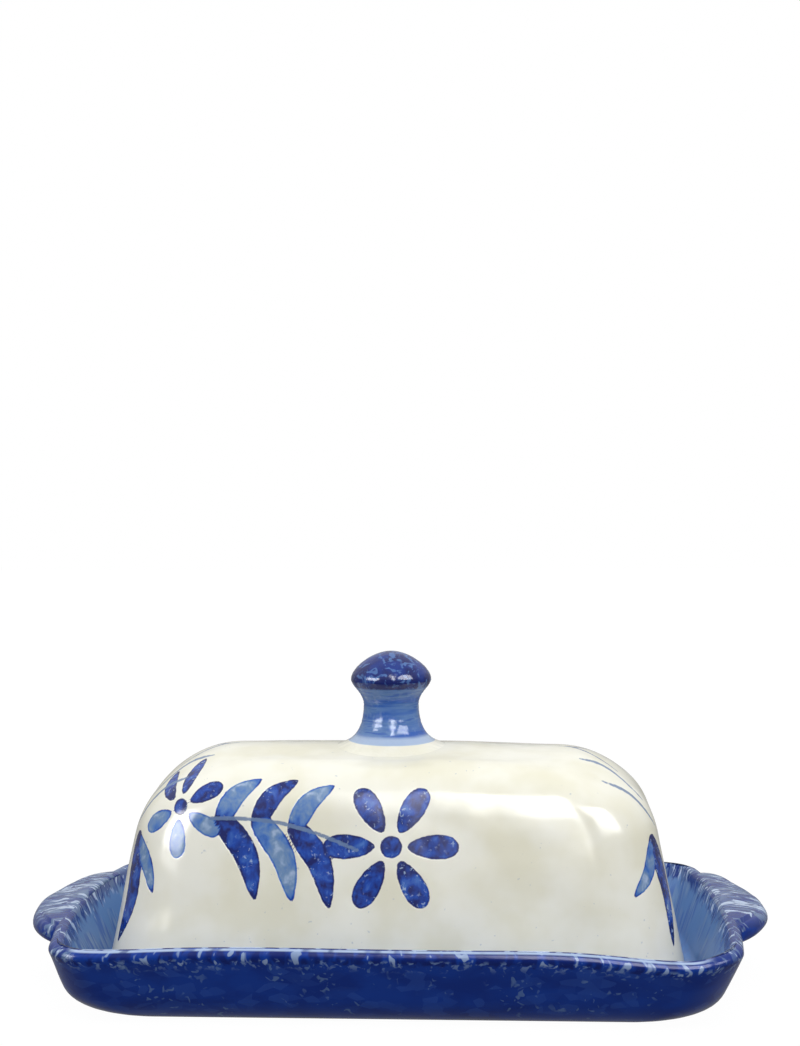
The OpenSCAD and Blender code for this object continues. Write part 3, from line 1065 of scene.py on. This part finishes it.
def make_floor():
    """A wide, pale, evenly lit floor, which neither lights the glazes nor shows in them."""
    reach = 4.0
    mesh = bpy.data.meshes.new("studio_floor")
    corners = [(-reach, -reach, 0), (reach, -reach, 0), (reach, reach, 0), (-reach, reach, 0)]
    mesh.from_pydata(corners, [], [(0, 1, 2, 3)])
    paper = Glaze("floor_paper")
    tint = paper.mix(paper.noise(paper.place(), 900, 2), (0.02, 0.02, 0.02, 1), (0.04, 0.04, 0.04, 1))
    paper.finish(tint, 0.9, 0.0)
    paper.shader.inputs["Emission Color"].default_value = (1, 1, 1, 1)
    paper.shader.inputs["Emission Strength"].default_value = 0.98
    mesh.materials.append(paper.material)
    floor = placed("studio_floor", mesh)
    floor.visible_glossy = floor.visible_diffuse = False


def make_softbox(name, place, target, width, height, power, mirrored):
    """A soft lamp that faces a point. It is either mirrored in the glaze or lights it."""
    lamp = bpy.data.lights.new(name, "AREA")
    lamp.shape = "RECTANGLE"
    lamp.size, lamp.size_y, lamp.energy = width, height, power
    box = placed(name, lamp)
    box.location = place
    box.rotation_euler = (Vector(target) - Vector(place)).to_track_quat("-Z", "Y").to_euler()
    box.visible_camera = False
    box.visible_diffuse, box.visible_glossy = not mirrored, mirrored


def make_daylight(strength):
    """Light from all round, stronger from above. The background itself is plain white."""
    world = bpy.data.worlds.new("daylight")
    bpy.context.scene.world = world
    world.use_nodes = True
    world.node_tree.nodes.clear()
    sky = Nodes(world.node_tree)
    height = sky.part(sky.add("ShaderNodeTexCoord", output="Generated"), "Z")
    height = sky.add("ShaderNodeMapRange", {"Value": height, "From Min": -1})
    levels = [(0.0, 0.26), (0.46, 0.3), (0.52, 0.38), (0.62, 0.55), (0.8, 0.9), (1.0, 1.05)]
    tint = sky.ramp(height, [(place, (level, level, level, 1)) for place, level in levels])
    lit = sky.add("ShaderNodeBackground", {"Color": tint, "Strength": strength})
    plain = sky.add("ShaderNodeBackground", {"Color": (1, 1, 1, 1)})
    seen = sky.add("ShaderNodeLightPath", output="Is Camera Ray")
    surface = sky.add("ShaderNodeMixShader", {0: seen, 1: lit, 2: plain})
    sky.add("ShaderNodeOutputWorld", {"Surface": surface})


def make_camera(studio):
    """The camera, a little right of the middle, level and turned slightly left."""
    data = bpy.data.cameras.new("camera")
    data.lens = studio.lens
    data.sensor_width = 36
    data.clip_start = 0.01
    camera = placed("camera", data)
    sideways, turn, tilt, roll = 0.0298, 0.0553, 0.0039, 0.005
    stand = Matrix.Translation((sideways, -studio.distance, studio.height))
    aim = Matrix.Rotation(turn, 4, "Z") @ Matrix.Rotation(math.pi / 2 - tilt, 4, "X")
    camera.matrix_world = stand @ aim @ Matrix.Rotation(-roll, 4, "Z")
    bpy.context.scene.camera = camera


# ---------------------------------------------------------------- operators and panel


def settings():
    """What the user chose."""
    return bpy.context.scene.butter_dish


class BUTTERDISH_OT_tray(bpy.types.Operator):
    """Make the sponged tray"""

    bl_idname = "butterdish.tray"
    bl_label = "Make Tray"

    def execute(self, context):
        tray = make_tray(settings())
        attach(tray, "dish")
        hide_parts("dish")
        return {"FINISHED"}


class BUTTERDISH_OT_lugs(bpy.types.Operator):
    """Make the two lugs"""

    bl_idname = "butterdish.lugs"
    bl_label = "Make Lugs"

    def execute(self, context):
        left = make_lug(settings(), "pinched_lug_left", -1, 33, 42, 2, 2.3)
        right = make_lug(settings(), "pinched_lug_right", 1, 26, 45, 1.8, 2.6)
        for lug, node in ((left, "left_lug"), (right, "right_lug")):
            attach(lug, "dish")
            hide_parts(node)
        return {"FINISHED"}


class BUTTERDISH_OT_cover(bpy.types.Operator):
    """Make the painted cover"""

    bl_idname = "butterdish.cover"
    bl_label = "Make Cover"

    def execute(self, context):
        cover = make_cover(settings())
        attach(cover, "cover")
        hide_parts("cover")
        return {"FINISHED"}


class BUTTERDISH_OT_knob(bpy.types.Operator):
    """Make the turned knob"""

    bl_idname = "butterdish.knob"
    bl_label = "Make Knob"

    def execute(self, context):
        knob = make_knob(settings())
        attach(knob, "cover")
        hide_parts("knob")
        return {"FINISHED"}


class BUTTERDISH_OT_studio(bpy.types.Operator):
    """Make the floor, the light and the camera"""

    bl_idname = "butterdish.studio"
    bl_label = "Make Studio"

    def execute(self, context):
        studio = settings().studio
        make_floor()
        make_daylight(studio.daylight)
        make_softbox("lamp", (0.3, -1.4, 1.9), (0, 0, 0.05), 1.2, 1.2, 21, False)
        make_softbox("window_front", (0.24, -1.6, 1.35), (0.02, 0, 0.05), 0.36, 1.6, 20, True)
        make_softbox("window_glow", (0.26, -1.7, 1.4), (0.02, 0, 0.05), 0.66, 2.0, 21, True)
        make_softbox("window_left", (-1.4, -1.05, 0.78), (0, 0, 0.06), 1.1, 0.75, 40, True)
        make_softbox("window_right", (1.35, -1.05, 1.3), (0, 0, 0.08), 1.2, 1.0, 42, True)
        make_camera(studio)
        bpy.context.scene.view_settings.view_transform = "Standard"
        return {"FINISHED"}


class BUTTERDISH_PT_panel(bpy.types.Panel):
    """Sizes, colours and the steps that make the butter dish"""

    bl_idname = "BUTTERDISH_PT_panel"
    bl_label = "Butter Dish"
    bl_space_type = "VIEW_3D"
    bl_region_type = "UI"
    bl_category = "Butter Dish"

    def draw(self, context):
        for group in ("tray", "lugs", "cover", "knob", "colours", "studio"):
            box = self.layout.box()
            box.label(text=group.capitalize())
            values = getattr(settings(), group)
            for field in type(values).__annotations__:
                box.prop(values, field)
            if group != "colours":
                box.operator("butterdish." + group)


GROUPS = (TraySizes, LugSizes, CoverSizes, KnobSizes, GlazeColours, StudioSettings, ButterDish)
OPERATORS = (
    BUTTERDISH_OT_tray,
    BUTTERDISH_OT_lugs,
    BUTTERDISH_OT_cover,
    BUTTERDISH_OT_knob,
    BUTTERDISH_OT_studio,
)
CLASSES = (*GROUPS, *OPERATORS, BUTTERDISH_PT_panel)


def register():
    for cls in CLASSES:
        bpy.utils.register_class(cls)
    bpy.types.Scene.butter_dish = PointerProperty(type=ButterDish)


def unregister():
    del bpy.types.Scene.butter_dish
    for cls in reversed(CLASSES):
        bpy.utils.unregister_class(cls)


def main():
    """Makes the butter dish in its studio."""
    register()
    bpy.ops.butterdish.tray()
    bpy.ops.butterdish.lugs()
    bpy.ops.butterdish.cover()
    bpy.ops.butterdish.knob()
    bpy.ops.butterdish.studio()


if __name__ == "__main__":
    main()
